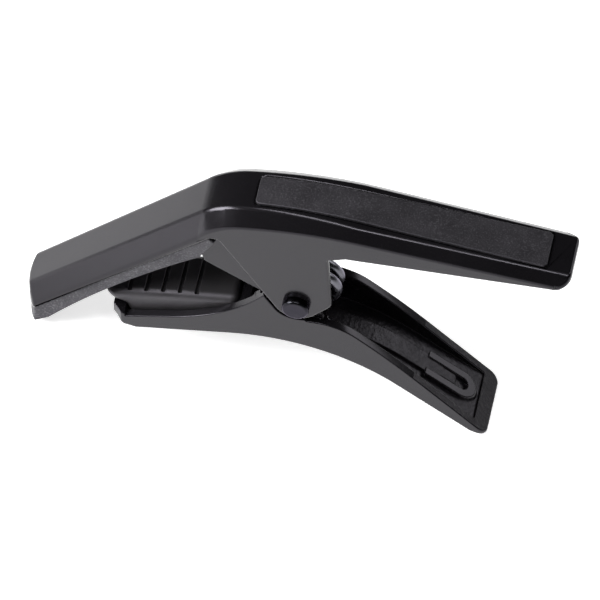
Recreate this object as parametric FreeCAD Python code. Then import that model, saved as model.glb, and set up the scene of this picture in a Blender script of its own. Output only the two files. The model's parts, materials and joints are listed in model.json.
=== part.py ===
import FreeCAD, Part
import math
import os

# Spring-loaded guitar capo.  Drafted in the plane XZ with the pivot at the origin:
# +X runs towards the two squeeze handles, +Z is up, Y crosses the width.
# At the end the whole part is turned to stand on its string pad's tip and on the
# lever's handle end, with the origin at the middle of its base.  Millimetres, degrees.

far = 70.0                       # well clear of the part, for cutting and trimming solids
knit = 1.0                       # pieces of one casting run into each other by this much

# --- frame casting: top line, from the free end of the handle to the tip of the bar
handle_end = (58.7, 22.56)       # upper corner of the handle's free end
handle_fall = 7.0                # the handle's top slopes down towards its free end
handle_straight = 46.7           # straight stretch of the handle's top
crown_radius = 95.0              # gentle hump over the pivot
crown_turn = 15.0
bend_radius = 16.0               # shoulder where the handle turns into the bar
bend_turn = 36.5
bar_tip_x = -59.6                # far end of the bar
handle_underside_z = 19.2        # flat underside of the handle
handle_end_rake = 2.4            # the end face leans back by this much at its foot

# --- frame casting: widths and facets
frame_width = 16.0               # across the ears
bar_tip_width = 14.6
handle_end_width = 14.6
bar_facet = 3.5                  # slanted facet along the bar's upper edges
handle_facet = 2.35              # the same along the handle
nose_radius = 14.0               # rounded end of the bar, seen from above
handle_corner_radius = 3.2       # corners of the handle's end, seen from above

# --- bar underside and string pad, measured along the bar from the throat
pad_seat = (-18.6, 19.1)         # throat end of the bar's underside
pad_seat_slope = 43.7            # the bar's underside, from the horizontal
pad_length = 55.0
pad_end_thickness = 4.3
pad_tip_rake = 1.6               # the face's hollow ends this far short of the pad's length
pad_nose_rise = 0.17             # slope at which the pad thins beyond that
fingerboard_radius = 190.0       # the pad is hollowed to a cambered fingerboard
pad_inset = 0.35                 # the pad's sides stand back from the casting
pad_tuck = (0.7, 1.9)            # the pad's throat end tucks in behind the web
pad_heel = (7.3, 4.1)            # lower corner of the pad's throat end
tongue_width = 5.0               # moulded tongue that keys the pad to the bar
tongue_height = 1.3
tongue_margin = 7.0
key_clearance = 0.05

# --- ears, web and pivot
ear_thickness = 1.5
ear_radius = 5.2                 # round foot of each ear, about the pivot
ear_front_angle = 60.0           # slope of the ear's edge facing the throat
ear_back_angle = 49.0            # slope of the short edge behind the pivot
ear_back_x = 7.7
ear_corner_radius = 2.4
ear_root_run = 3.0               # slanted root of the ear under the handle
ear_root_drop = 1.2
ear_lean = 0.9                   # the back edge leans forward on its way up
web_foot = (-8.6, 0.8)           # lower end of the throat's back wall
web_lip = (8.7, 6.4)             # throat corner of the web, measured along the bar and down
web_back_x = -4.6
web_back_drop = 2.6
coil_room = 1.1                  # room round the coil inside the web
web_side_gap = 0.1               # web stands inside the ears' inner faces

# --- pocket under the handle
roof_thickness = 3.0
pocket_half_width = 5.3
pocket_end_x = 50.0

# --- grip inlay on the handle's top
inlay_start_x = -9.8
inlay_end_x = 53.3
inlay_start_width = 7.3
inlay_end_width = 9.2
inlay_corner = 0.7
inlay_depth = 0.8
inlay_proud = 0.4
inlay_gap = 0.05

# --- pivot pin
pin_radius = 2.4
pin_head_radius = 2.95
pin_head_height = 1.8
pin_head_dome = 0.6
pin_tail_radius = 3.2
pin_tail_height = 1.0
running_clearance = 0.05

# --- torsion spring
wire_diameter = 2.2
coil_mean_radius = 6.0
coil_full_turns = 2              # whole turns, beyond the part turn between the legs
coil_pitch = 3.0
coil_centre = (1.7, -0.9)        # the coil hangs off-centre on the pin
upper_leg_x = 26.0               # where the upper leg meets the pocket's roof
lower_leg_x = 10.5               # where the lower leg meets the lever's floor
leg_gap = 0.12
knuckle = 0.03                   # the wire thickens a trace where a leg leaves the coil

# --- lever casting: outer lines
lever_width = 15.7
lever_travel = 45.0              # from closed jaws to fully squeezed handles
jaw_tip_x = -40.2
jaw_slope = 9.3                  # underside of the jaw
jaw_run = 20.8
lever_bow_radius = 46.0          # the underside bows round below the pivot
lever_bow_turn = 47.8
lever_tail_run = 20.6
tail_toe_run = 3.7               # bevelled toe at the end of the underside
tail_toe_drop = 1.3
jaw_tip_bevel = 2.6
jaw_heel_x = -35.0               # foot of the jaw's tip, where the straight underside starts
jaw_underside_z = -18.1
jaw_tip_foot_rise = 0.6
rim_level_z = -5.9               # rim beside the ears
rim_level_x = 2.0
rim_level_run = 2.0
rim_tail_run = 23.3
rim_bend_radius = 14.0
rim_bend_turn = 40.0
rim_sweep_radius = 150.0
rim_sweep_turn = 6.5
jaw_rim_start = (-38.6, -14.9)
jaw_rim_slope = 13.7
jaw_rim_run = 12.0
jaw_rim_radius = 34.5
jaw_rim_turn = 38.0
jaw_rim_rise = 4.0
lip_height = 1.9                 # turned-up lip at the jaw's tip
lip_thickness = 2.8
lip_fall = 0.7                   # the lip's top falls towards the pad
tail_corner_radius = 2.0         # corners of the lever's end, seen from above
jaw_corner = 2.0                 # cut corners of the jaw's tip, seen from above
tail_end_x = 41.4

# --- lever casting: walls and hollows
lever_floor = 1.7
handle_wall = 1.9
tail_wall = 2.9
jaw_wall = 2.0
jaw_floor = 2.0
lug_gap = 0.1                    # between each lug and its ear
lug_thickness = 1.3
lug_radius = 4.7
lug_flare = 1.5
lug_reach = 12.0                 # from the pin's axis down into the lever's floor
ear_notch_gap = 0.4              # room round the ears in the lever's walls
pad_pocket_end_x = -13.0
chamber_start_x = -10.6          # hollow under the pivot, for the coil
chamber_end_x = 6.5
bridge_drop = 7.2                # cross wall between tray and chamber, below the web's foot
plateau_half_width = 2.3
plateau_height = 0.8
plateau_start_x = 5.0
plateau_end_x = 30.0
bead_width = 1.9                 # U-shaped stiffening bead at the channel's end
bead_height = 1.1
bead_half_span = 2.2
bead_start_x = 27.0
bead_end_x = 34.6
island_half_width = 1.2
island_end_x = 33.2

# --- neck pad
neck_pad_overhang = 2.5          # the pad swells out over the jaw's lip
neck_pad_tip_z = -9.6
neck_pad_back_z = -5.0
neck_pad_crown = 0.7
pocket_gap = 0.1


def vector(x, z, y=0.0):
    return FreeCAD.Vector(x, y, z)


def trace(start, heading, moves):
    """Edges that run from start along tangent lines and arcs.

    A move is (length,) for a straight run or (radius, turn) for an arc, and a
    positive turn goes to the left.  Returns the edges, the last point and heading.
    """
    edges = []
    x, z = start
    for move in moves:
        if len(move) == 1:
            angle = math.radians(heading)
            nx = x + move[0] * math.cos(angle)
            nz = z + move[0] * math.sin(angle)
            edges.append(Part.makeLine(vector(x, z), vector(nx, nz)))
        else:
            radius, turn = move
            side = 1.0 if turn > 0 else -1.0
            centre_angle = math.radians(heading + 90.0 * side)
            cx = x + radius * math.cos(centre_angle)
            cz = z + radius * math.sin(centre_angle)
            points = [vector(x, z)]
            for share in (0.5, 1.0):
                spoke = centre_angle + math.pi + math.radians(turn * share)
                points.append(vector(cx + radius * math.cos(spoke), cz + radius * math.sin(spoke)))
            edges.append(Part.Arc(*points).toShape())
            heading += turn
            nx, nz = points[-1].x, points[-1].z
        x, z = nx, nz
    return edges, (x, z), heading


def lines(points):
    """Straight edges through a list of (x, z) points."""
    return [Part.makeLine(vector(*a), vector(*b)) for a, b in zip(points, points[1:])]


def rounded_corner(before, corner, after, radius):
    """Edges from before to after by way of a corner rounded to a radius."""
    here = vector(*corner)
    back = (vector(*before) - here).normalize()
    onward = (vector(*after) - here).normalize()
    half_angle = back.getAngle(onward) / 2.0
    reach = radius / math.tan(half_angle)
    first = here + back * reach
    last = here + onward * reach
    middle = here + (back + onward).normalize() * (radius / math.sin(half_angle) - radius)
    return [
        Part.makeLine(vector(*before), first),
        Part.Arc(first, middle, last).toShape(),
        Part.makeLine(last, vector(*after)),
    ]


def slab(edges, low_y, high_y):
    """Solid between two planes of Y whose outline is a closed loop of XZ edges."""
    face = Part.Face(Part.Wire(Part.__sortEdges__(edges)))
    face.translate(FreeCAD.Vector(0, low_y, 0))
    return face.extrude(FreeCAD.Vector(0, high_y - low_y, 0))


def polygon_slab(points, half_width):
    return slab(lines(list(points) + [points[0]]), -half_width, half_width)


def both_sides(edges, inner_y, outer_y):
    """The same outline as two slabs, one each side of the middle plane."""
    return slab(edges, inner_y, outer_y).fuse(slab(edges, -outer_y, -inner_y))


def plan_prism(points_and_arcs, low_z=-far, high_z=far):
    """Vertical prism from XY edges."""
    face = Part.Face(Part.Wire(Part.__sortEdges__(points_and_arcs)))
    face.translate(FreeCAD.Vector(0, 0, low_z))
    return face.extrude(FreeCAD.Vector(0, 0, high_z - low_z))


def pin_cylinder(radius, low_y, high_y, centre=(0.0, 0.0)):
    base = FreeCAD.Vector(centre[0], low_y, centre[1])
    return Part.makeCylinder(radius, high_y - low_y, base, FreeCAD.Vector(0, 1, 0))


# --------------------------------------------------------------------------- top line
def top_moves(offset):
    """The casting's top line, moved outwards by offset, from the handle's end to the bar."""
    return [
        (handle_straight,),
        (crown_radius + offset, crown_turn),
        (bend_radius + offset, bend_turn),
    ]


def top_start(offset):
    fall = math.radians(handle_fall)
    return (handle_end[0] + offset * math.sin(fall), handle_end[1] + offset * math.cos(fall))


def top_line(offset):
    """Edges of the whole top line at an offset, out to the bar's tip."""
    heading = 180.0 - handle_fall
    edges, point, heading = trace(top_start(offset), heading, top_moves(offset))
    run = (point[0] - bar_tip_x + 1.0) / math.cos(math.radians(heading - 180.0))
    bar, tip, heading = trace(point, heading, [(run,)])
    return edges + bar, tip


def below_top(offset, floor_z=-far):
    """Slab of everything below the top line, between the bar's tip and the handle's end."""
    edges, tip = top_line(offset)
    start = top_start(offset)
    past = 3.0
    fall = math.radians(handle_fall)
    beyond = (start[0] + past * math.cos(fall), start[1] - past * math.sin(fall))
    closing = lines([tip, (tip[0], floor_z), (beyond[0], floor_z), beyond, start])
    return slab(edges + closing, -frame_width, frame_width)


def top_height(x):
    """Height and slope angle of the top line at x, for the facet stations."""
    fall = math.radians(handle_fall)
    straight_x = handle_end[0] - handle_straight * math.cos(fall)
    if x >= straight_x:
        return handle_end[1] + (handle_end[0] - x) * math.tan(fall), -handle_fall
    edge = below_top(0.0).section(Part.makeLine(vector(x, -far), vector(x, far)))
    z = max(v.Point.z for v in edge.Vertexes)
    crown_x = straight_x - crown_radius * (
        math.sin(fall) + math.sin(math.radians(crown_turn - handle_fall))
    )
    if x >= crown_x:
        centre_x = straight_x - crown_radius * math.sin(fall)
        return z, math.degrees(math.asin((centre_x - x) / crown_radius))
    first = crown_turn - handle_fall
    shoulder = math.sin(math.radians(first)) + (crown_x - x) / bend_radius
    steepest = crown_turn + bend_turn - handle_fall
    return z, min(steepest, math.degrees(math.asin(min(1.0, shoulder))))


# --------------------------------------------------------------------------- facets
def facet_section(x, half_width, facet):
    """Cross-section at x whose slanted sides carry the casting's two long facets."""
    height, slope = top_height(x)
    drop = facet / math.cos(math.radians(slope))
    lift = 0.45
    profile = [
        (half_width, -far),
        (half_width, height - drop),
        (half_width - facet * (1.0 + lift), height + drop * lift),
    ]
    points = profile + [(-y, z) for y, z in reversed(profile)]
    points.append(points[0])
    return Part.makePolygon([vector(x, z, y) for y, z in points])


def faceted_envelope():
    """Solid that gives the frame its tapering width and its two long facets."""
    fall = math.radians(handle_fall)
    straight_x = handle_end[0] - handle_straight * math.cos(fall)
    first = math.radians(crown_turn - handle_fall)
    steepest = math.radians(crown_turn + bend_turn - handle_fall)
    crown_x = straight_x - crown_radius * (math.sin(fall) + math.sin(first))
    bend_x = crown_x - bend_radius * (math.sin(steepest) - math.sin(first))
    half = frame_width / 2.0

    outer = handle_end[0] + 2.0
    handle = Part.makeLoft(
        [
            facet_section(outer, handle_end_width / 2.0, handle_facet),
            facet_section(straight_x, half, handle_facet),
        ],
        True,
        True,
    )
    stations = 12
    hump = []
    for i in range(stations + 1):
        share = i / stations
        x = straight_x + (bend_x - straight_x) * share
        facet = handle_facet + (bar_facet - handle_facet) * share
        hump.append(facet_section(x, half, facet))
    shoulder = Part.makeLoft(hump, True, False)
    bar = Part.makeLoft(
        [
            facet_section(bend_x, half, bar_facet),
            facet_section(bar_tip_x - 0.5, bar_tip_width / 2.0, bar_facet),
        ],
        True,
        True,
    )
    return handle.fuse([shoulder, bar]).removeSplitter()


def frame_plan(inset=0.0):
    """Outline from above: rounded nose on the bar, rounded corners at the handle's end."""
    wide = frame_width
    nose = nose_radius - inset
    centre_x = bar_tip_x + nose_radius
    flank = frame_width / 2.0 - inset
    reach = math.sqrt(nose ** 2 - flank ** 2)
    tip = FreeCAD.Vector(bar_tip_x + inset, 0, 0)
    upper = FreeCAD.Vector(centre_x - reach, flank, 0)
    lower = FreeCAD.Vector(centre_x - reach, -flank, 0)
    end = handle_end[0]
    end_half = handle_end_width / 2.0
    corner = handle_corner_radius
    bulge = corner * (1.0 - math.sqrt(0.5))
    outline = [Part.Arc(upper, tip, lower).toShape()]
    right = [
        FreeCAD.Vector(centre_x - reach, -wide, 0),
        FreeCAD.Vector(end - corner, -wide, 0),
        FreeCAD.Vector(end - corner, -end_half, 0),
    ]
    outline.append(Part.makeLine(lower, right[0]))
    outline += [Part.makeLine(a, b) for a, b in zip(right, right[1:])]
    corner_low = [
        right[-1],
        FreeCAD.Vector(end - bulge, -end_half + bulge, 0),
        FreeCAD.Vector(end, -end_half + corner, 0),
    ]
    outline.append(Part.Arc(*corner_low).toShape())
    corner_high = [FreeCAD.Vector(p.x, -p.y, 0) for p in reversed(corner_low)]
    outline.append(Part.makeLine(corner_low[-1], corner_high[0]))
    outline.append(Part.Arc(*corner_high).toShape())
    left = [FreeCAD.Vector(p.x, -p.y, 0) for p in reversed(right)]
    outline += [Part.makeLine(a, b) for a, b in zip(left, left[1:])]
    outline.append(Part.makeLine(left[-1], upper))
    return plan_prism(outline)


# --------------------------------------------------------------------------- bar datum
def on_bar(along, down):
    """Point in XZ from a distance along the bar's underside and a depth below it."""
    slope = math.radians(pad_seat_slope)
    x = pad_seat[0] - along * math.cos(slope) + down * math.sin(slope)
    z = pad_seat[1] - along * math.sin(slope) - down * math.cos(slope)
    return (x, z)


def ear_outline():
    """Closed outline of one ear: straight front edge, round foot, raised back corner."""
    foot_start = math.radians(270.0 - ear_front_angle)
    foot_end = math.radians(270.0 + ear_back_angle)
    start = (ear_radius * math.cos(foot_start), ear_radius * math.sin(foot_start))
    low = (0.0, -ear_radius)
    end = (ear_radius * math.cos(foot_end), ear_radius * math.sin(foot_end))
    top_z = handle_underside_z + 1.0
    rise = top_z - start[1]
    top_front = (start[0] - rise / math.tan(math.radians(ear_front_angle)), top_z)
    corner = (ear_back_x, end[1] + (ear_back_x - end[0]) * math.tan(math.radians(ear_back_angle)))
    lean_x = ear_back_x - ear_lean
    edges = lines([top_front, start])
    edges.append(Part.Arc(vector(*start), vector(*low), vector(*end)).toShape())
    back_top = (lean_x, handle_underside_z)
    edges += rounded_corner(end, corner, back_top, ear_corner_radius)
    edges += lines([back_top, (lean_x, top_z), top_front])
    return edges


def web_points():
    """Outline of the block between the ears, whose lower edge is the throat's back wall."""
    return [
        on_bar(pad_tuck[0], -knit),
        on_bar(*pad_tuck),
        on_bar(*pad_heel),
        on_bar(*web_lip),
        web_foot,
        (web_back_x, web_foot[1] - web_back_drop),
        (web_back_x, handle_underside_z + knit),
        (pad_seat[0], handle_underside_z + knit),
    ]


def web_outline(gap):
    points = [vector(*p) for p in web_points()]
    return Part.makePolygon(points + [points[0]]).makeOffset2D(gap)


def frame_casting():
    beam_points = [
        on_bar(far, 0.0),
        pad_seat,
        (web_back_x, handle_underside_z - ear_root_drop),
        (ear_back_x, handle_underside_z - ear_root_drop),
        (ear_back_x + ear_root_run, handle_underside_z),
        (handle_end[0] - handle_end_rake, handle_underside_z),
        (handle_end[0], handle_end[1] - handle_facet),
        (handle_end[0], far),
        (on_bar(far, 0.0)[0], far),
    ]
    beam = polygon_slab(beam_points, frame_width)
    inner = frame_width / 2.0 - ear_thickness
    ears = both_sides(ear_outline(), inner, frame_width)
    web_half = inner - web_side_gap
    web = polygon_slab(web_points(), web_half)
    clearance = coil_mean_radius + wire_diameter / 2.0 + coil_room
    web = web.cut(pin_cylinder(clearance, -web_half, web_half, coil_centre))
    body = beam.fuse([ears, web])
    body = body.common(below_top(0.0)).common(faceted_envelope()).common(frame_plan())
    body = body.cut(handle_pocket()).cut(inlay_block(-inlay_depth, inlay_depth, 0.0))
    body = body.cut(pad_tongue(key_clearance))
    body = body.cut(pin_cylinder(pin_radius, -frame_width, frame_width))
    return body.removeSplitter()


def handle_pocket():
    """Hollow under the handle that the spring's upper leg works in."""
    box = polygon_slab(
        [(web_back_x, 0.0), (pocket_end_x, 0.0), (pocket_end_x, far), (web_back_x, far)],
        pocket_half_width,
    )
    return box.common(below_top(-roof_thickness))


def pad_tongue(gap):
    """Key on the string pad's back, and with a gap the groove for it."""
    points = [
        on_bar(tongue_margin - gap, knit),
        on_bar(pad_length - tongue_margin + gap, knit),
        on_bar(pad_length - tongue_margin + gap, -tongue_height - gap),
        on_bar(tongue_margin - gap, -tongue_height - gap),
    ]
    return polygon_slab(points, tongue_width / 2.0 + gap).cut(below_bar())


def below_bar():
    points = [on_bar(-far, 0.0), on_bar(far, 0.0), on_bar(far, far), on_bar(-far, far)]
    return polygon_slab(points, frame_width)


def inlay_block(low, high, gap):
    """Band between two offsets of the top line, cut to the inlay's outline."""
    band = below_top(high).cut(below_top(low))
    start_half = inlay_start_width / 2.0 - gap
    end_half = inlay_end_width / 2.0 - gap
    x0 = inlay_start_x + gap
    x1 = inlay_end_x - gap
    c = inlay_corner
    corners = [
        (x0, -start_half + c), (x0 + c, -start_half), (x1 - c, -end_half), (x1, -end_half + c),
        (x1, end_half - c), (x1 - c, end_half), (x0 + c, start_half), (x0, start_half - c),
    ]
    points = [FreeCAD.Vector(x, y, 0) for x, y in corners]
    points.append(points[0])
    prism = plan_prism(Part.makePolygon(points).Edges, 0.0, far)
    return band.common(prism)


def string_pad():
    """Rubber pad under the bar, hollowed to the fingerboard, with its keying tongue."""
    heel = on_bar(*pad_heel)
    reach = pad_length - pad_tip_rake
    tip_low = on_bar(reach, pad_end_thickness)
    middle = (pad_heel[0] + reach) / 2.0
    chord = reach - pad_heel[0]
    rise = fingerboard_radius - math.sqrt(fingerboard_radius ** 2 - (chord / 2.0) ** 2)
    hollow = on_bar(middle, (pad_heel[1] + pad_end_thickness) / 2.0 - rise)
    edges = lines([
        heel, on_bar(*pad_tuck), on_bar(pad_tuck[0], 0.0),
        on_bar(far, 0.0), on_bar(far, pad_end_thickness - pad_nose_rise * (far - reach)), tip_low,
    ])
    edges.append(Part.Arc(vector(*tip_low), vector(*hollow), vector(*heel)).toShape())
    half = frame_width / 2.0 - pad_inset
    pad = slab(edges, -half, half).common(frame_plan(pad_inset)).common(pad_envelope())
    return pad.fuse(pad_tongue(0.0)).removeSplitter()


def pad_envelope():
    """Tapering width of the pad, a little inside the bar's sides."""
    throat_half = frame_width / 2.0 - pad_inset
    tip_half = bar_tip_width / 2.0 - pad_inset
    corners = [
        (pad_seat[0], throat_half), (bar_tip_x, tip_half),
        (bar_tip_x, -tip_half), (pad_seat[0], -throat_half),
        (0.0, -throat_half), (0.0, throat_half), (pad_seat[0], throat_half),
    ]
    return plan_prism(Part.makePolygon([FreeCAD.Vector(x, y, 0) for x, y in corners]).Edges)


def grip_inlay():
    return inlay_block(-inlay_depth, inlay_proud, inlay_gap)


# --------------------------------------------------------------------------- pivot
def pivot_pin():
    """Headed rivet pin: domed head in front, shank through both ears, peened tail."""
    half = frame_width / 2.0
    shank = pin_cylinder(pin_radius, -half, half)
    head = pin_cylinder(pin_head_radius, -half - pin_head_height, -half)
    rim = [e for e in head.Edges if abs(e.BoundBox.YMin + half + pin_head_height) < 1e-6]
    head = head.makeFillet(pin_head_dome, [e for e in rim if e.BoundBox.XLength > 1.0])
    tail = pin_cylinder(pin_tail_radius, half, half + pin_tail_height)
    rim = [e for e in tail.Edges if abs(e.BoundBox.YMax - half - pin_tail_height) < 1e-6]
    tail = tail.makeFillet(pin_head_dome, [e for e in rim if e.BoundBox.XLength > 1.0])
    return shank.fuse([head, tail]).removeSplitter()


# --------------------------------------------------------------------------- lever
def lever_underside(offset, overrun=0.0):
    """Underside of the lever moved inwards by offset: jaw, bow below the pivot, handle."""
    slope = math.radians(jaw_slope)
    start = (jaw_heel_x - offset * math.sin(slope), jaw_underside_z + offset * math.cos(slope))
    tail_run = lever_tail_run + overrun
    moves = [(jaw_run,), (lever_bow_radius + offset, -lever_bow_turn), (tail_run,)]
    return trace(start, jaw_slope, moves)


def rim_line():
    """Upper edge of the handle's side walls, from beside the ears to the lever's end."""
    moves = [
        (rim_level_run,),
        (rim_bend_radius, -rim_bend_turn),
        (rim_sweep_radius, -rim_sweep_turn),
        (rim_tail_run,),
    ]
    return trace((rim_level_x, rim_level_z), 0.0, moves)


def jaw_rim_line():
    moves = [(jaw_rim_run,), (jaw_rim_radius, jaw_rim_turn), (jaw_rim_rise,)]
    return trace(jaw_rim_start, jaw_rim_slope, moves)


def lever_outline():
    """Closed side outline of the lever, before hollows and the notches for the ears."""
    under, tail_low, heading = lever_underside(0.0)
    rim, tail_high, rim_heading = rim_line()
    jaw_rim, jaw_top, jaw_heading = jaw_rim_line()
    start = (jaw_heel_x, jaw_underside_z)
    tip_foot = (jaw_tip_x + jaw_tip_bevel, jaw_underside_z + jaw_tip_foot_rise)
    closing = lines([start, tip_foot, (jaw_tip_x, jaw_rim_start[1]), jaw_rim_start])
    bridge = lines([jaw_top, (rim_level_x, jaw_top[1]), (rim_level_x, rim_level_z)])
    tail_foot = (tail_low[0] + tail_toe_run, tail_low[1] - tail_toe_drop)
    tail = lines([tail_low, tail_foot, tail_high])
    return under + tail + rim + bridge + jaw_rim + closing


def lever_plan():
    """Outline from above: square jaw with small corners, rounded handle end."""
    half = lever_width / 2.0
    corner = tail_corner_radius
    bulge = corner * (1.0 - math.sqrt(0.5))
    end = tail_end_x
    low = [
        FreeCAD.Vector(end - corner, -half, 0),
        FreeCAD.Vector(end - bulge, -half + bulge, 0),
        FreeCAD.Vector(end, -half + corner, 0),
    ]
    high = [FreeCAD.Vector(p.x, -p.y, 0) for p in reversed(low)]
    jaw = [
        (end - corner, half), (jaw_tip_x + jaw_corner, half), (jaw_tip_x, half - jaw_corner),
        (jaw_tip_x, jaw_corner - half), (jaw_tip_x + jaw_corner, -half), (end - corner, -half),
    ]
    points = [FreeCAD.Vector(x, y, 0) for x, y in jaw]
    outline = [Part.Arc(*low).toShape(), Part.makeLine(low[-1], high[0]), Part.Arc(*high).toShape()]
    outline += [Part.makeLine(a, b) for a, b in zip(points, points[1:])]
    return plan_prism(outline)


def above_underside(offset, low_x, high_x, half_width):
    """Everything above the underside moved inwards by offset, between two values of X."""
    overrun = lever_width
    under, last, heading = lever_underside(offset, overrun)
    first = under[0].Vertexes[0].Point
    slope = math.radians(jaw_slope)
    back = (first.x - overrun * math.cos(slope), first.z - overrun * math.sin(slope))
    loop = under + lines([last, (last[0], far), (back[0], far), back, (first.x, first.z)])
    block = slab(loop, -half_width, half_width)
    window = [(low_x, -far), (high_x, -far), (high_x, far), (low_x, far)]
    return block.common(polygon_slab(window, half_width + knit))


def ear_sweep():
    """Room that the ears need in the lever's walls over the whole travel."""
    outer = lever_width
    inner = frame_width / 2.0 - ear_thickness - lug_gap
    outline = Part.Wire(Part.__sortEdges__(ear_outline()))
    wide = outline.makeOffset2D(ear_notch_gap)
    steps = 9
    sweep = None
    for i in range(steps + 1):
        angle = -lever_travel * i / steps
        face = Part.Face(wide)
        face.rotate(FreeCAD.Vector(0, 0, 0), FreeCAD.Vector(0, -1, 0), angle)
        face.translate(FreeCAD.Vector(0, inner, 0))
        wing = face.extrude(FreeCAD.Vector(0, outer, 0))
        sweep = wing if sweep is None else sweep.fuse(wing)
    sweep = sweep.removeSplitter()
    return sweep.fuse(sweep.mirror(FreeCAD.Vector(0, 0, 0), FreeCAD.Vector(0, 1, 0)))


def lever_lugs():
    """Two lugs that carry the lever on the pin, inside the ears."""
    outer = frame_width / 2.0 - ear_thickness - lug_gap
    inner = outer - lug_thickness
    foot = lug_radius + lug_flare
    strap = [(-lug_radius, 0.0), (lug_radius, 0.0), (foot, -lug_reach), (-foot, -lug_reach)]
    shape = None
    for low, high in ((inner, outer), (-outer, -inner)):
        lug = pin_cylinder(lug_radius, low, high).fuse(slab(lines(strap + [strap[0]]), low, high))
        shape = lug if shape is None else shape.fuse(lug)
    return shape


def channel_relief():
    """Raised plateau, U-shaped bead and island on the floor of the handle's channel."""
    base = lever_floor - knit / 2.0
    plateau = above_underside(base, plateau_start_x, plateau_end_x, plateau_half_width)
    plateau = plateau.cut(above_underside(lever_floor + plateau_height, -far, far, frame_width))
    span = bead_half_span
    outer_half = span + bead_width / 2.0
    inner_half = span - bead_width / 2.0
    strip = above_underside(base, 0.0, far, outer_half)
    strip = strip.cut(above_underside(lever_floor + bead_height, -far, far, frame_width))
    ring = bead_prism(outer_half).cut(bead_prism(inner_half))
    bead = strip.common(ring)
    island = above_underside(base, plateau_end_x - knit, island_end_x, island_half_width)
    island = island.cut(above_underside(lever_floor + plateau_height, -far, far, frame_width))
    return plateau.fuse([bead, island])


def bead_prism(half):
    """Stadium seen from above, open towards the pivot."""
    low = FreeCAD.Vector(bead_end_x, -half, 0)
    tip = FreeCAD.Vector(bead_end_x + half, 0, 0)
    high = FreeCAD.Vector(bead_end_x, half, 0)
    back = bead_start_x
    edges = [Part.Arc(low, tip, high).toShape()]
    corners = [high, FreeCAD.Vector(back, half, 0), FreeCAD.Vector(back, -half, 0), low]
    edges += [Part.makeLine(a, b) for a, b in zip(corners, corners[1:])]
    return plan_prism(edges)


def lever_casting():
    half = lever_width / 2.0
    body = slab(lever_outline(), -half, half).common(lever_plan())
    lip_foot = jaw_rim_start[1] - knit
    lip_top = jaw_rim_start[1] + lip_height
    lip_back_x = jaw_tip_x + lip_thickness
    lip = polygon_slab(
        [
            (jaw_tip_x, lip_foot), (lip_back_x, lip_foot),
            (lip_back_x, lip_top - lip_fall), (jaw_tip_x, lip_top),
        ],
        half,
    )
    body = body.fuse(lip.common(lever_plan()))
    body = body.cut(above_underside(jaw_floor, lip_back_x, pad_pocket_end_x, half - jaw_wall))
    chamber_half = frame_width / 2.0 - ear_thickness - lug_gap - lug_thickness
    body = body.cut(above_underside(lever_floor, chamber_start_x, chamber_end_x + knit, chamber_half))
    tail_inner = tail_end_x - tail_wall
    channel = above_underside(lever_floor, chamber_end_x, tail_inner, half - handle_wall)
    body = body.cut(channel)
    body = body.cut(ear_sweep())
    web_room = frame_width / 2.0 - ear_thickness
    body = body.cut(slab(web_outline(ear_notch_gap).Edges, -web_room, web_room))
    bridge_level = web_foot[1] - bridge_drop
    bridge_end_x = chamber_start_x + knit
    bridge_back_x = pad_pocket_end_x - knit
    bridge = [
        (bridge_back_x, far), (bridge_end_x, far),
        (bridge_end_x, bridge_level), (bridge_back_x, bridge_level),
    ]
    body = body.cut(polygon_slab(bridge, half - jaw_wall))
    body = body.fuse(lever_lugs()).fuse(channel_relief().common(lever_plan()))
    body = body.cut(pin_cylinder(pin_radius + running_clearance, -frame_width, frame_width))
    return body.removeSplitter()


def neck_pad():
    """Rubber pad in the jaw's tray; its tip swells out over the jaw's lip."""
    half = lever_width / 2.0 - jaw_wall - pocket_gap
    low_x = jaw_tip_x + lip_thickness + pocket_gap
    high_x = pad_pocket_end_x - pocket_gap
    lip_top = jaw_rim_start[1] + lip_height + pocket_gap
    tip_x = jaw_tip_x - neck_pad_overhang
    points = [
        (low_x, -far),
        (high_x, -far),
        (high_x, neck_pad_back_z),
        ((low_x + high_x) / 2.0, (neck_pad_tip_z + neck_pad_back_z) / 2.0 + neck_pad_crown),
        (tip_x, neck_pad_tip_z),
        (jaw_tip_x, lip_top),
        (low_x, lip_top),
    ]
    block = polygon_slab(points, half)
    seat = above_underside(jaw_floor, jaw_tip_x - jaw_tip_bevel, high_x, half)
    return block.common(seat)


# --------------------------------------------------------------------------- spring
def tangent_leg(contact, upper):
    """Tangent point on the coil for a leg that ends at contact."""
    cx, cz = coil_centre
    dx, dz = contact[0] - cx, contact[1] - cz
    distance = math.hypot(dx, dz)
    spread = math.acos(coil_mean_radius / distance)
    bearing = math.atan2(dz, dx)
    return bearing + spread if upper else bearing - spread


def floor_height(x):
    """Height of the lever's floor at x."""
    floor = Part.Wire(lever_underside(lever_floor)[0])
    plumb = Part.makeLine(vector(x, -far), vector(x, far))
    return floor.distToShape(plumb)[1][0][0].z


def leg_contacts():
    """Points in XZ where the wire's centre ends, just clear of the roof and the floor."""
    radius = wire_diameter / 2.0
    roof_slope = math.radians(handle_fall)
    top_z = handle_end[1] + (handle_end[0] - upper_leg_x) * math.tan(roof_slope)
    upper_z = top_z - (roof_thickness + radius + leg_gap) / math.cos(roof_slope)
    rise = floor_height(lower_leg_x + radius) - floor_height(lower_leg_x - radius)
    floor_slope = math.atan2(rise, wire_diameter)
    lower_z = floor_height(lower_leg_x) + (radius + leg_gap) / math.cos(floor_slope)
    return (upper_leg_x, upper_z), (lower_leg_x, lower_z)


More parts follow.
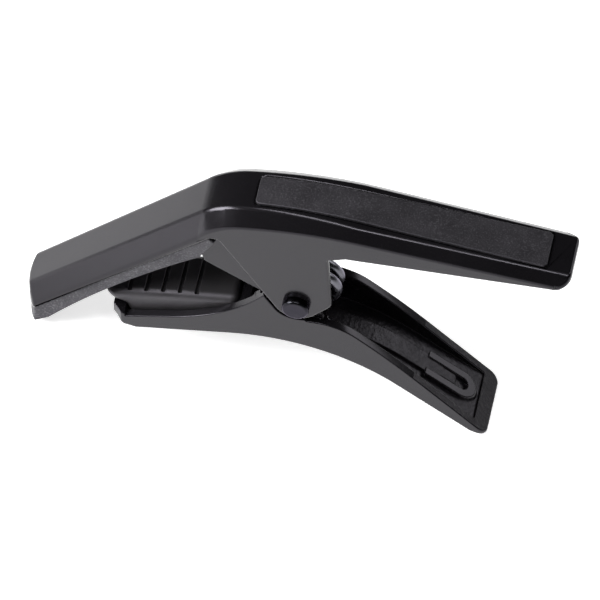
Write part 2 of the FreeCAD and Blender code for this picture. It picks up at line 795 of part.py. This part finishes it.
def torsion_spring():
    """Round-wire coil whose legs push the two handles apart."""
    radius = wire_diameter / 2.0
    upper, lower = leg_contacts()
    high = tangent_leg(upper, True)
    low = tangent_leg(lower, False)
    full = 2.0 * math.pi
    sweep = (low - high) % full + full * coil_full_turns
    span = coil_pitch * sweep / full
    helix = Part.makeHelix(coil_pitch, span, coil_mean_radius)
    start = FreeCAD.Vector(coil_mean_radius, 0, 0)
    ring = Part.Wire(Part.makeCircle(radius, start, FreeCAD.Vector(0, 1, 0)))
    coil = Part.Wire(helix).makePipeShell([ring], True, True)
    coil.rotate(FreeCAD.Vector(0, 0, 0), FreeCAD.Vector(1, 0, 0), -90.0)
    coil.rotate(FreeCAD.Vector(0, 0, 0), FreeCAD.Vector(0, -1, 0), math.degrees(low))
    coil.translate(vector(coil_centre[0], coil_centre[1], -span / 2.0))
    spring = coil
    for contact, angle, y in ((lower, low, -span / 2.0), (upper, high, span / 2.0)):
        root = vector(
            coil_centre[0] + coil_mean_radius * math.cos(angle),
            coil_centre[1] + coil_mean_radius * math.sin(angle),
            y,
        )
        run = vector(contact[0], contact[1], y) - root
        leg = Part.makeCylinder(radius, run.Length, root, run)
        spring = spring.fuse([leg, Part.makeSphere(radius + knuckle, root)])
    return spring.removeSplitter()


# --------------------------------------------------------------------------- assembly
def lowest_point(shape, slope):
    """The shape's lowest corner or edge middle after the part is turned back by the slope."""
    angle = math.radians(slope)
    points = [edge.valueAt((edge.FirstParameter + edge.LastParameter) / 2.0) for edge in shape.Edges]
    points += [vertex.Point for vertex in shape.Vertexes]
    return min(points, key=lambda p: p.z * math.cos(angle) - p.x * math.sin(angle))


def ground_slope(left, right):
    """Slope of the line that both pieces stand on."""
    slope = 0.0
    for step in range(5):
        a = lowest_point(left, slope)
        b = lowest_point(right, slope)
        slope = math.degrees(math.atan2(b.z - a.z, b.x - a.x))
    return slope


def stance(pieces):
    """Turn and move every piece so that the capo stands on pad tip and lever end."""
    slope = ground_slope(pieces["string_pad"], pieces["lever_casting"])
    box = FreeCAD.BoundBox()
    for shape in pieces.values():
        shape.rotate(FreeCAD.Vector(0, 0, 0), FreeCAD.Vector(0, -1, 0), -slope)
        box.add(shape.optimalBoundingBox(False, False))
    base = FreeCAD.Vector(-(box.XMin + box.XMax) / 2.0, 0, -box.ZMin)
    for shape in pieces.values():
        shape.translate(base)
    print("stance angle", round(-slope, 3), "pivot at", tuple(round(c, 3) for c in base))


if __name__ == "__main__":
    os.makedirs("parts", exist_ok=True)
    pieces = {
        "frame_casting": frame_casting(),
        "string_pad": string_pad(),
        "grip_inlay": grip_inlay(),
        "pivot_pin": pivot_pin(),
        "torsion_spring": torsion_spring(),
        "lever_casting": lever_casting(),
        "neck_pad": neck_pad(),
    }
    stance(pieces)
    for name, shape in pieces.items():
        print(name, shape.isValid(), len(shape.Solids), round(shape.Volume, 1))
        shape.exportStep("parts/" + name + ".step")
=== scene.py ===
# %% [markdown]
# # A spring-loaded guitar capo, built round its CAD frame
# The capo is two painted castings on one pin: a bent bar that presses the strings, and a
# lever whose jaw reaches behind the neck.  The CAD model fixes every size and place, so it is
# loaded first.  Each visible piece below is made to sit exactly in the space of its CAD node.

# %% load the frame
import json
import math

import bmesh
import bpy
from mathutils import Matrix, Vector
from mathutils.bvhtree import BVHTree


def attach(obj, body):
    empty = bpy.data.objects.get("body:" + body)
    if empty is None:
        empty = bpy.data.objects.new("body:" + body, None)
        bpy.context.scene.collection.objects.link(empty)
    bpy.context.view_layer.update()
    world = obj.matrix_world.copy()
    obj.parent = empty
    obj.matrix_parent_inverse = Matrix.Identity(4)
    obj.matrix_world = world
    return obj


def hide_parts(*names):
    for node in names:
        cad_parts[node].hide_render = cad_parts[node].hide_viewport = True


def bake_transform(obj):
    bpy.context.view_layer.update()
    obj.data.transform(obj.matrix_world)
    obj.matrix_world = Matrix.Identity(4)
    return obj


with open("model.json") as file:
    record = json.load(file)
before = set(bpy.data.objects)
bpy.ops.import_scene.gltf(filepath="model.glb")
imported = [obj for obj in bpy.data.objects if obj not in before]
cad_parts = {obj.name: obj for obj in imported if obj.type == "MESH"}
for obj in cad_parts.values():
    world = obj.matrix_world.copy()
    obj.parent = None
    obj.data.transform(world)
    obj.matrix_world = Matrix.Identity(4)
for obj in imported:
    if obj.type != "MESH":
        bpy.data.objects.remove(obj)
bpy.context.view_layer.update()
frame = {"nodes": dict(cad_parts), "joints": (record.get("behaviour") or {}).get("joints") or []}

print("CAD nodes:", sorted(frame["nodes"]))

# %% [markdown]
# ## Sizes and places
# The castings are easiest to describe as they were drafted, with the pin's axis as the origin
# and the handles running along +X.  The finished capo is turned a little so that it stands on
# its pad and its lever.  One function carries a drafted point, in millimetres, to where it
# stands, in metres.

# %% drafted points to standing points
MM = 0.001
STANCE = math.radians(7.897)
PIVOT = Vector(frame["joints"][0]["pos_m"])


def turned(x, y, z):
    """A drafted direction as it stands."""
    return Vector((
        x * math.cos(STANCE) - z * math.sin(STANCE),
        y,
        x * math.sin(STANCE) + z * math.cos(STANCE),
    ))


def stand(x, y, z):
    """A drafted point, in millimetres from the pin's axis, as it stands, in metres."""
    return PIVOT + turned(x, y, z) * MM


print("the pin's axis stands at", [round(c, 4) for c in PIVOT])

# %% [markdown]
# ## Small helpers
# Colours are written as sRGB hex, as a paint chart gives them, but shaders add light linearly,
# so one function converts them.  Shader trees and Geometry Nodes trees are both built with the
# same small function: it adds a node, sets its settings, and links or fills its sockets.

# %% colour and node helpers
def linear(hex_code):
    """sRGB hex to a linear RGBA colour."""
    channels = [int(hex_code[i:i + 2], 16) / 255 for i in (1, 3, 5)]
    light = [c / 12.92 if c <= 0.04045 else ((c + 0.055) / 1.055) ** 2.4 for c in channels]
    return (*light, 1.0)


def add(tree, kind, sockets=None, **settings):
    """Adds a node to a tree; a socket given another node's output is linked to it."""
    node = tree.nodes.new(kind)
    for name, value in settings.items():
        setattr(node, name, value)
    for name, value in (sockets or {}).items():
        if isinstance(value, bpy.types.NodeSocket):
            tree.links.new(value, node.inputs[name])
        else:
            node.inputs[name].default_value = value
    return node


def per_mm(size):
    """Scale of a texture in metres whose features are this many millimetres across."""
    return 1.0 / (size * MM)


print("black enamel #0c0c0d is", [round(c, 4) for c in linear("#0c0c0d")])

# %% [markdown]
# ## Finishes
# A finish is a base colour, a roughness and a fine relief.  All seven below share that build: two
# close colours mixed by a slow noise, a roughness that drifts a little, and a bump whose grain
# is worked out from a real size in millimetres.  Two rubbers also get pale specks painted into
# their colour as glints: a painted highlight.

# %% one builder for the finishes
# pale grey painted into two rubbers' colour as glint specks: painted highlights on their grain
PAINTED_GLINT_COLOUR = "#8c8a90"
PAINTED_GLINT_RANGE = (0.5, 0.72)        # the fine noise's peaks between these values become specks
CLOUD_RANGE = (0.3, 0.7)         # where most of the slow noise lies
ROUGHNESS_DRIFT = (0.85, 1.2)    # how far the roughness strays from its typical value
SHEEN_TINT = "#f3eefb"


def finish(name, dark, light, patch, rough, grain, height, metal=0.0, painted_glint=0.0, mirror=0.5):
    """A procedural finish.  patch and grain are sizes in mm, height is the relief in mm; pale
    painted glint specks are mixed into the colour when their share is above zero.
    """
    material = bpy.data.materials.new(name)
    material.use_nodes = True
    tree = material.node_tree
    tree.nodes.clear()
    place = add(tree, "ShaderNodeTexCoord").outputs["Object"]
    cloud = add(tree, "ShaderNodeTexNoise", {
        "Vector": place, "Scale": per_mm(patch), "Detail": 3.0,
    })
    fine = add(tree, "ShaderNodeTexNoise", {
        "Vector": place, "Scale": per_mm(grain), "Detail": 4.0,
    })
    colour = add(tree, "ShaderNodeMix", {
        0: cloud.outputs["Fac"], 6: linear(dark), 7: linear(light),
    }, data_type="RGBA").outputs[2]
    # painted highlight: pale specks where the fine noise peaks, standing for glints off the grain
    if painted_glint:
        peaks = add(tree, "ShaderNodeMapRange", {
            "Value": fine.outputs["Fac"],
            "From Min": PAINTED_GLINT_RANGE[0], "From Max": PAINTED_GLINT_RANGE[1],
            "To Min": 0.0, "To Max": painted_glint,
        })
        colour = add(tree, "ShaderNodeMix", {
            0: peaks.outputs["Result"], 6: colour, 7: linear(PAINTED_GLINT_COLOUR),
        }, data_type="RGBA").outputs[2]
    drift = add(tree, "ShaderNodeMapRange", {
        "Value": cloud.outputs["Fac"],
        "From Min": CLOUD_RANGE[0], "From Max": CLOUD_RANGE[1],
        "To Min": rough * ROUGHNESS_DRIFT[0], "To Max": rough * ROUGHNESS_DRIFT[1],
    })
    relief = add(tree, "ShaderNodeBump", {
        "Height": fine.outputs["Fac"], "Strength": 1.0, "Distance": height * MM,
    })
    shader = add(tree, "ShaderNodeBsdfPrincipled", {
        "Base Color": colour, "Roughness": drift.outputs["Result"],
        "Normal": relief.outputs["Normal"], "Metallic": metal, "Specular IOR Level": mirror,
        "Specular Tint": linear(SHEEN_TINT),
    })
    add(tree, "ShaderNodeOutputMaterial", {"Surface": shader.outputs["BSDF"]})
    return material


# Stoved gloss enamel over a die casting: near black, glassy, with a faint orange peel.
enamel = finish(
    "gloss_stoved_enamel", "#0b0a0c", "#121113",
    patch=14.0, rough=0.2, grain=1.3, height=0.004, mirror=0.28,
)
# The lever's channel floor, and the lip's inner face, are left as cast under the same enamel:
# pitted, so they glint in specks.
cast_floor = finish(
    "enamel_over_rough_casting", "#0e0d0f", "#171518",
    patch=3.0, rough=0.34, grain=0.8, height=0.16, mirror=0.28,
)
# Moulded rubber with a fine spark-eroded grain in its relief, and pale specks painted into its
# colour as the grain's glints, which grey it all over.
pad_rubber = finish(
    "fine_grain_rubber_painted_glints", "#18181a", "#232326",
    patch=6.0, rough=0.58, grain=0.4, height=0.1, painted_glint=0.26,
)
# The neck pad is smoother: a polished mould gives a satin sheen on its shoulders.
satin_rubber = finish(
    "satin_moulded_rubber", "#201f20", "#2a292a",
    patch=7.0, rough=0.42, grain=0.35, height=0.008,
)
# The handle's inlay is a grained strip; its sparkle is painted, as pale glint specks in its
# colour.
grain_and_glint_rubber = finish(
    "grained_rubber_strip_painted_glints", "#151416", "#1d1c1e",
    patch=5.0, rough=0.5, grain=0.3, height=0.04, painted_glint=0.12,
)
# Black nickel over steel: a dark metal whose cap mirrors the bright table.
black_nickel = finish(
    "black_nickel_plate", "#202024", "#2a2a2d",
    patch=3.0, rough=0.24, grain=0.5, height=0.002, metal=1.0,
)
# Oil-blackened spring wire, drawn along its length.
spring_wire = finish(
    "blackened_spring_wire", "#55555a", "#6c6c72",
    patch=2.0, rough=0.27, grain=0.6, height=0.004, metal=1.0,
)
print("finishes:", len(bpy.data.materials))

# %% [markdown]
# ## From CAD triangles to a smooth, edge-rounded piece
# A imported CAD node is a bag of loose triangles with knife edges.  Paint and mould wear round
# every real edge, and that thin rounded line is what catches the light on a black object.  So
# each node is copied, its doubles are merged, its flat faces are dissolved into whole ones, and
# a Bevel modifier rounds the edges.  Weighted normals keep the big faces flat.

# %% copy a node and round its edges
def as_piece(name, mesh, material):
    piece = bpy.data.objects.new(name, mesh)
    bpy.context.scene.collection.objects.link(piece)
    mesh.materials.clear()
    mesh.materials.append(material)
    return piece


def merged_copy(node, flat_angle=0.4):
    """A welded copy of a CAD node's mesh, its flat faces made whole."""
    mesh = frame["nodes"][node].data.copy()
    shell = bmesh.new()
    shell.from_mesh(mesh)
    bmesh.ops.remove_doubles(shell, verts=shell.verts, dist=0.0005 * MM)
    bmesh.ops.dissolve_limit(
        shell, angle_limit=math.radians(flat_angle), verts=shell.verts, edges=shell.edges
    )
    shell.to_mesh(mesh)
    shell.free()
    return mesh


def settle(piece):
    """Applies a piece's modifiers: its evaluated mesh replaces its own."""
    bpy.context.view_layer.update()
    graph = bpy.context.evaluated_depsgraph_get()
    mesh = bpy.data.meshes.new_from_object(piece.evaluated_get(graph))
    piece.modifiers.clear()
    piece.data = mesh
    return piece


OUTSIDE_LIMIT = 0.02
RELAX_STEPS = 6


def tame(mesh, skin, depth):
    """Puts any point that left the CAD skin, or sank deeper than a depth in mm, back on it.

    Each of them is then relaxed towards its neighbours, so that no spike is left.
    """
    strays = {}
    for vertex in mesh.vertices:
        place, normal, _, gap = skin.find_nearest(vertex.co)
        outside = (vertex.co - place).dot(normal) > 0.0
        if gap > (OUTSIDE_LIMIT if outside else depth) * MM:
            vertex.co = place
            strays[vertex.index] = []
    for edge in mesh.edges:
        for here, there in (edge.vertices, reversed(edge.vertices)):
            if here in strays:
                strays[here].append(there)
    for step in range(RELAX_STEPS):
        for index, neighbours in strays.items():
            middle = sum((mesh.vertices[i].co for i in neighbours), Vector()) / len(neighbours)
            place, normal, _, gap = skin.find_nearest(middle)
            outside = (middle - place).dot(normal) > 0.0
            mesh.vertices[index].co = place if outside else middle
    return len(strays)


def round_edges(piece, radius, segments=3, sharp=25.0):
    """Rounds every edge sharper than an angle, in degrees, to a radius in mm."""
    shell = bmesh.new()
    shell.from_mesh(piece.data)
    skin = BVHTree.FromBMesh(shell)
    shell.free()
    bevel = piece.modifiers.new("round", "BEVEL")
    bevel.width = radius * MM
    bevel.segments = segments
    bevel.limit_method = "ANGLE"
    bevel.angle_limit = math.radians(sharp)
    bevel.use_clamp_overlap = False
    bevel.miter_outer = "MITER_ARC"
    for face in piece.data.polygons:
        face.use_smooth = True
    settle(piece)
    print(piece.name, "points put back on the skin:", tame(piece.data, skin, radius * 0.6))
    for edge in piece.data.edges:
        edge.use_edge_sharp = False
    weighted = piece.modifiers.new("normals", "WEIGHTED_NORMAL")
    weighted.mode = "FACE_AREA"
    weighted.weight = 80
    return settle(piece)


def finished(piece, body, slot, *nodes):
    """Says which body the piece moves with and the nodes it replaces; its slot argument is not
    used.
    """
    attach(piece, body)
    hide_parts(*nodes)
    print(piece.name, len(piece.data.polygons), "faces, rides on", body)


# %% [markdown]
# ## The two castings
# Both are die cast and stoved with gloss black enamel.  Their shape is the CAD shape, so a
# welded copy with rounded edges is truer than anything rebuilt by hand.

# %% castings
CAST_EDGE = 0.6
upper = as_piece("bar_and_handle", merged_copy("frame_casting"), enamel)
round_edges(upper, CAST_EDGE)
finished(upper, "frame", "black_casting", "frame_casting")

# %% [markdown]
# The lever's channel is rougher than its outside, and a U-shaped bead stands on its floor with
# well-rounded edges.  Both lie within a few millimetres of the underside, which is one arc that
# runs into a straight slope, so a height above the underside is enough to find them.

# %% heights above the lever's underside
BOW_RADIUS = 46.0
BOW_CENTRE = (-7.04, -60.1)
TAIL_START = (21.6, -24.1)
TAIL_SLOPE = math.radians(-38.5)


def drafted(place):
    """A standing point, in metres, back on the draft, in millimetres from the pin's axis."""
    across, rise = (place.x - PIVOT.x) / MM, (place.z - PIVOT.z) / MM
    return (
        across * math.cos(STANCE) + rise * math.sin(STANCE),
        place.y / MM,
        rise * math.cos(STANCE) - across * math.sin(STANCE),
    )


def underside(x):
    """Height of the lever's underside at a drafted x."""
    if x > TAIL_START[0]:
        return TAIL_START[1] + (x - TAIL_START[0]) * math.tan(TAIL_SLOPE)
    return BOW_CENTRE[1] + math.sqrt(BOW_RADIUS ** 2 - (x - BOW_CENTRE[0]) ** 2)


def above_skin(place):
    """How far a standing point is above the straight end of the underside, in mm."""
    x, y, z = drafted(place)
    return (z - underside(x)) * math.cos(TAIL_SLOPE)


print("the underside turns straight at", TAIL_START)

# %% the lever and its bead
BEAD_START = 24.0                # drafted x, clear of the plateau before the bead
BEAD_TOP = 2.8                   # height of the bead's crest above the underside
BEAD_TOP_SLACK = 0.1
BEAD_EDGE = 0.65
RIDGE_ANGLE = math.radians(30.0)


def on_bead_top(place):
    """Whether a standing point lies on the bead's crest."""
    return drafted(place)[0] > BEAD_START and abs(above_skin(place) - BEAD_TOP) < BEAD_TOP_SLACK


def round_bead(mesh):
    """Rounds the raised bead's upper edges far more than the rest of the casting."""
    shell = bmesh.new()
    shell.from_mesh(mesh)
    ridges = [
        edge for edge in shell.edges
        if len(edge.link_faces) == 2 and edge.calc_face_angle() > RIDGE_ANGLE
        and all(on_bead_top(vertex.co) for vertex in edge.verts)
    ]
    bmesh.ops.bevel(
        shell, geom=ridges, offset=BEAD_EDGE * MM, segments=4, profile=0.5,
        affect="EDGES", clamp_overlap=True,
    )
    shell.to_mesh(mesh)
    shell.free()
    return len(ridges)


LEVER_EDGE = 0.25
lever = as_piece("jaw_and_lever", merged_copy("lever_casting"), enamel)
print("edges rounded on the bead:", round_bead(lever.data))
round_edges(lever, LEVER_EDGE)

# %% the rough faces
CHANNEL_START = 3.0
CHANNEL_HALF = 6.0
FLOOR_HEIGHTS = (0.5, 2.65)      # above the underside; the bead's crest stays glossy
DOWNWARD = -0.2                  # faces whose normal falls below this look down
LIP_BACK = -36.0
FACING_HINGE = 0.5


def is_rough(face):
    """Whether a face is on the channel's floor or on the inner face of the jaw's lip."""
    x, y, z = drafted(face.center)
    if x < LIP_BACK:
        return face.normal.x > FACING_HINGE
    if x <= CHANNEL_START or abs(y) >= CHANNEL_HALF or face.normal.z <= DOWNWARD:
        return False
    return FLOOR_HEIGHTS[0] < above_skin(face.center) < FLOOR_HEIGHTS[1]


lever.data.materials.append(cast_floor)
rough_faces = [face for face in lever.data.polygons if is_rough(face)]
for face in rough_faces:
    face.material_index = 1
print("faces left rough in the channel and behind the lip:", len(rough_faces))
finished(lever, "lever", "black_casting", "lever_casting")

# %% [markdown]
# ## The string pad and the inlay
# Both are rubber pressed into the bar and the handle.  They are moulded with small radii,
# smaller than the castings', and their grain comes from the finish.

# %% string pad and inlay
PAD_EDGE = 0.3
string_pad = as_piece("string_pad_rubber", merged_copy("string_pad"), pad_rubber)
round_edges(string_pad, PAD_EDGE)
finished(string_pad, "frame", "string_pad_rubber", "string_pad")

INLAY_EDGE = 0.25
inlay = as_piece("grip_strip", merged_copy("grip_inlay"), grain_and_glint_rubber)
round_edges(inlay, INLAY_EDGE)
finished(inlay, "frame", "inlay_rubber", "grip_inlay")

# %% [markdown]
# ## The pivot pin
# A headed pin goes through both ears and is peened over at the far side.  Its head is turned,
# so the edge radius is fine and even.

# %% pin
PIN_EDGE = 0.12
PIN_SHARP = 40.0
pin = as_piece("pin_headed", merged_copy("pivot_pin"), black_nickel)
round_edges(pin, PIN_EDGE, sharp=PIN_SHARP)
finished(pin, "frame", "pin_steel", "pivot_pin")

# %% [markdown]
# ## The torsion spring
# One wire follows a rule: a straight leg, whole turns round the pin, and a second straight leg.
# The centre line is worked out from the coil's radius and pitch and from where the CAD legs
# end.  A Geometry Nodes tree then sweeps a round section along it, so the wire's thickness and
# roundness stay named inputs.

# %% where the legs end
WIRE_RADIUS = 1.1
COIL_RADIUS = 6.0
COIL_PITCH = 3.0
COIL_TURNS = 2
COIL_CENTRE = stand(1.7, 0.0, -0.9)
LEG_END_DEPTH = 0.8              # CAD points this near the farthest one belong to the leg's end


def leg_end(side):
    """Middle of the far end face of the CAD leg on one side of the coil: -1 near, +1 far."""
    points = [v.co.copy() for v in frame["nodes"]["torsion_spring"].data.vertices]
    points = [p for p in points if p.y * side > 0]
    reach = [math.hypot(p.x - COIL_CENTRE.x, p.z - COIL_CENTRE.z) for p in points]
    ring = [p for p, r in zip(points, reach) if r > max(reach) - LEG_END_DEPTH * MM]
    low = Vector([min(p[i] for p in ring) for i in range(3)])
    high = Vector([max(p[i] for p in ring) for i in range(3)])
    return (low + high) / 2


def leaves_coil(end, side):
    """Angle on the coil where a leg to that end leaves it, along a tangent."""
    dx, dz = end.x - COIL_CENTRE.x, end.z - COIL_CENTRE.z
    spread = math.acos(COIL_RADIUS * MM / math.hypot(dx, dz))
    return math.atan2(dz, dx) + side * spread


lower_end, upper_end = leg_end(-1), leg_end(1)
low_angle, high_angle = leaves_coil(lower_end, -1), leaves_coil(upper_end, 1)
wound = (low_angle - high_angle) % (2 * math.pi) + 2 * math.pi * COIL_TURNS
span = COIL_PITCH * MM * wound / (2 * math.pi)
print("the wire turns", round(math.degrees(wound)), "degrees; legs end at", lower_end, upper_end)

# %% the wire's centre line
STEPS_PER_TURN = 40
steps = int(STEPS_PER_TURN * wound / (2 * math.pi))
centre_line = [Vector((lower_end.x, -span / 2, lower_end.z))]
for i in range(steps + 1):
    share = i / steps
    angle = low_angle - wound * share
    centre_line.append(Vector((
        COIL_CENTRE.x + COIL_RADIUS * MM * math.cos(angle),
        -span / 2 + span * share,
        COIL_CENTRE.z + COIL_RADIUS * MM * math.sin(angle),
    )))
centre_line.append(Vector((upper_end.x, span / 2, upper_end.z)))

wire_curve = bpy.data.curves.new("wire_line", "CURVE")
wire_curve.dimensions = "3D"
spline = wire_curve.splines.new("POLY")
spline.points.add(len(centre_line) - 1)
for point, place in zip(spline.points, centre_line):
    point.co = (*place, 1.0)
wire_line = bpy.data.objects.new("wire_line", wire_curve)
bpy.context.scene.collection.objects.link(wire_line)
print("centre line points:", len(centre_line))


# %% a tree that sweeps a round section along a line
def new_tree(name, sizes):
    """An empty Geometry Nodes tree with a geometry input and named sizes."""
    tree = bpy.data.node_groups.new(name, "GeometryNodeTree")
    tree.interface.new_socket("Geometry", in_out="INPUT", socket_type="NodeSocketGeometry")
    for label, kind in sizes:
        tree.interface.new_socket(label, in_out="INPUT", socket_type="NodeSocket" + kind)
    tree.interface.new_socket("Geometry", in_out="OUTPUT", socket_type="NodeSocketGeometry")
    return tree


def apply_tree(piece, tree, values):
    """Runs a tree on a piece with values for its named inputs, and keeps the mesh."""
    modifier = piece.modifiers.new(tree.name, "NODES")
    modifier.node_group = tree
    for socket in tree.interface.items_tree:
        if socket.in_out == "INPUT" and socket.name in values:
            modifier[socket.identifier] = values[socket.name]
    bpy.context.view_layer.update()
    graph = bpy.context.evaluated_depsgraph_get()
    mesh = bpy.data.meshes.new_from_object(piece.evaluated_get(graph))
    piece.modifiers.clear()
    return mesh


sweep = new_tree("sweep_round_wire", [
    ("Wire Radius", "Float"), ("Sides", "Int"), ("Finish", "Material"),
])
given = add(sweep, "NodeGroupInput").outputs
section = add(sweep, "GeometryNodeCurvePrimitiveCircle", {
    "Resolution": given["Sides"], "Radius": given["Wire Radius"],
})
tube = add(sweep, "GeometryNodeCurveToMesh", {
    "Curve": given["Geometry"], "Profile Curve": section.outputs["Curve"], "Fill Caps": True,
})
smooth = add(sweep, "GeometryNodeSetShadeSmooth", {"Geometry": tube.outputs["Mesh"]})
solid = add(sweep, "GeometryNodeRealizeInstances", {"Geometry": smooth.outputs[0]})
painted = add(sweep, "GeometryNodeSetMaterial", {
    "Geometry": solid.outputs["Geometry"], "Material": given["Finish"],
})
add(sweep, "NodeGroupOutput", {"Geometry": painted.outputs["Geometry"]})
print("nodes in the sweep:", len(sweep.nodes))

# %% sweep the wire
WIRE_SIDES = 20
WIRE_INSET = 0.995               # the swept wire stays just inside the CAD wire
WIRE_END_EDGE = 0.2
WIRE_SHARP = 60.0
wire_mesh = apply_tree(wire_line, sweep, {
    "Wire Radius": WIRE_RADIUS * MM * WIRE_INSET, "Sides": WIRE_SIDES, "Finish": spring_wire,
})
bpy.data.objects.remove(wire_line)
spring = as_piece("coil_spring", wire_mesh, spring_wire)
round_edges(spring, WIRE_END_EDGE, segments=2, sharp=WIRE_SHARP)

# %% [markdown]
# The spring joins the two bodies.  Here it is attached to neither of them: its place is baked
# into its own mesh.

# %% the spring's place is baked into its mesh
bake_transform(spring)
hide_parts("torsion_spring")
print("coil_spring", len(spring.data.polygons), "faces")

# %% [markdown]
# ## The neck pad
# A soft block fills the jaw's tray, with wide shoulders and five narrow cross grooves that let
# it flex.  The grooves repeat, so a Geometry Nodes tree sets bars along a line and cuts them
# out of the rounded block in one boolean.

# %% a tree that cuts evenly spaced grooves
cutter = new_tree("cut_cross_grooves", [
    ("First", "Vector"), ("Step", "Vector"), ("Count", "Int"),
    ("Groove Size", "Vector"), ("Tilt", "Vector"), ("Finish", "Material"),
])
given = add(cutter, "NodeGroupInput").outputs
row = add(cutter, "GeometryNodeMeshLine", {
    "Count": given["Count"], "Start Location": given["First"], "Offset": given["Step"],
})
bar = add(cutter, "GeometryNodeMeshCube", {"Size": given["Groove Size"]})
bars = add(cutter, "GeometryNodeInstanceOnPoints", {
    "Points": row.outputs["Mesh"], "Instance": bar.outputs["Mesh"], "Rotation": given["Tilt"],
})
whole = add(cutter, "GeometryNodeRealizeInstances", {"Geometry": bars.outputs["Instances"]})
grooved = add(cutter, "GeometryNodeMeshBoolean", {
    "Mesh 1": given["Geometry"], "Mesh 2": whole.outputs["Geometry"],
}, operation="DIFFERENCE")
painted = add(cutter, "GeometryNodeSetMaterial", {
    "Geometry": grooved.outputs["Mesh"], "Material": given["Finish"],
})
add(cutter, "NodeGroupOutput", {"Geometry": painted.outputs["Geometry"]})
print("nodes in the cutter:", len(cutter.nodes))

# %% cut the neck pad
SHOULDER = 1.8
GROOVE_WIDTH = 0.9
GROOVE_DEPTH = 0.8
GROOVE_LENGTH = 9.6
GROOVE_PITCH = 3.7
GROOVES = 5
FIRST_GROOVE = (-36.9, -8.5)
PAD_TOP_SLOPE = math.radians(9.5)
GROOVE_EDGE = 0.12
GROOVE_SHARP = 40.0

block = as_piece("neck_pad_rubber", merged_copy("neck_pad"), satin_rubber)
round_edges(block, SHOULDER, segments=5)
grooved_mesh = apply_tree(block, cutter, {
    "First": stand(FIRST_GROOVE[0], 0.0, FIRST_GROOVE[1]),
    "Step": turned(math.cos(PAD_TOP_SLOPE), 0.0, math.sin(PAD_TOP_SLOPE)) * GROOVE_PITCH * MM,
    "Count": GROOVES,
    "Groove Size": Vector((GROOVE_WIDTH, GROOVE_LENGTH, 2 * GROOVE_DEPTH)) * MM,
    "Tilt": Vector((0.0, -(STANCE + PAD_TOP_SLOPE), 0.0)),
    "Finish": satin_rubber,
})
block.data = grooved_mesh
round_edges(block, GROOVE_EDGE, segments=2, sharp=GROOVE_SHARP)
finished(block, "lever", "neck_pad_rubber", "neck_pad")

# %% [markdown]
# ## Table, light and camera
# Gloss black shows nothing but what it mirrors.  The side faces look down at the white table and
# turn grey, the handle's top looks at the dark back of the room and stays black, and a softbox
# low on the left greys the bar.  A narrow light overhead draws the bright lines along the
# rounded edges, and a faint one behind on the right lifts the lever's end.

# %% the table
TABLE_REACH = 3.0
TABLE_GLOW = 0.66
table_mesh = bpy.data.meshes.new("table")
corners = [(-1, -1), (1, -1), (1, 1), (-1, 1)]
spots = [(x * TABLE_REACH, y * TABLE_REACH, 0.0) for x, y in corners]
table_mesh.from_pydata(spots, [], [(0, 1, 2, 3)])
white = bpy.data.materials.new("matt_white_table")
white.use_nodes = True
surface = white.node_tree.nodes["Principled BSDF"]
surface.inputs["Base Color"].default_value = linear("#f4f4f4")
surface.inputs["Roughness"].default_value = 0.9
surface.inputs["Specular IOR Level"].default_value = 0.0
surface.inputs["Emission Color"].default_value = linear("#ffffff")
surface.inputs["Emission Strength"].default_value = TABLE_GLOW
table = as_piece("table", table_mesh, white)
print("table is", 2 * TABLE_REACH, "m square")


# %% the lights
def softbox(name, toward, distance, size, power):
    """A rectangular light out along a drafted direction, aimed at the pin."""
    lamp = bpy.data.lights.new(name, "AREA")
    lamp.shape = "RECTANGLE"
    lamp.size, lamp.size_y = size
    lamp.energy = power
    light = bpy.data.objects.new(name, lamp)
    bpy.context.scene.collection.objects.link(light)
    outward = turned(*toward).normalized()
    light.location = PIVOT + outward * distance
    light.rotation_mode = "QUATERNION"
    light.rotation_quaternion = outward.to_track_quat("Z", "Y")
    return light


softbox("overhead", toward=(-0.02, -0.15, 1.0), distance=0.8, size=(0.6, 0.1), power=3.0)
softbox("key_left", toward=(-0.75, -0.3, 0.6), distance=0.42, size=(0.2, 0.2), power=3.2)
softbox("right_back", toward=(0.77, 0.56, 0.36), distance=0.5, size=(0.3, 0.2), power=0.6)

ROOM_GLOW = 0.05
world = bpy.data.worlds.new("dim_room")
world.use_nodes = True
background = world.node_tree.nodes["Background"]
background.inputs["Color"].default_value = linear("#ffffff")
background.inputs["Strength"].default_value = ROOM_GLOW
bpy.context.scene.world = world
bpy.context.scene.view_settings.view_transform = "Standard"
print("lights:", len(bpy.data.lights))

# %% the camera
CAMERA_TURN = math.radians(11.0)
CAMERA_LIFT = math.radians(55.0)
CAMERA_DISTANCE = 3.5
SCENE_WIDTH = 0.1277             # metres seen across the picture at the pin
NEAR_FACE = -8.0                 # y of the ear's face, where the camera aims
AIM_RIGHT = 0.81
AIM_UP = 1.02
SENSOR_WIDTH = 36.0

back = turned(
    math.sin(CAMERA_TURN) * math.cos(CAMERA_LIFT),
    -math.cos(CAMERA_TURN) * math.cos(CAMERA_LIFT),
    math.sin(CAMERA_LIFT),
)
right = turned(math.cos(CAMERA_TURN), math.sin(CAMERA_TURN), 0.0)
up = back.cross(right)
aim = stand(0.0, NEAR_FACE, 0.0) + (right * AIM_RIGHT + up * AIM_UP) * MM

camera_data = bpy.data.cameras.new("camera")
camera_data.sensor_width = SENSOR_WIDTH
camera_data.lens = SENSOR_WIDTH * CAMERA_DISTANCE / SCENE_WIDTH
camera = bpy.data.objects.new("camera", camera_data)
bpy.context.scene.collection.objects.link(camera)
camera.matrix_world = Matrix((
    (right.x, up.x, back.x, aim.x + back.x * CAMERA_DISTANCE),
    (right.y, up.y, back.y, aim.y + back.y * CAMERA_DISTANCE),
    (right.z, up.z, back.z, aim.z + back.z * CAMERA_DISTANCE),
    (0.0, 0.0, 0.0, 1.0),
))
bpy.context.scene.camera = camera
print("lens", round(camera_data.lens), "mm")
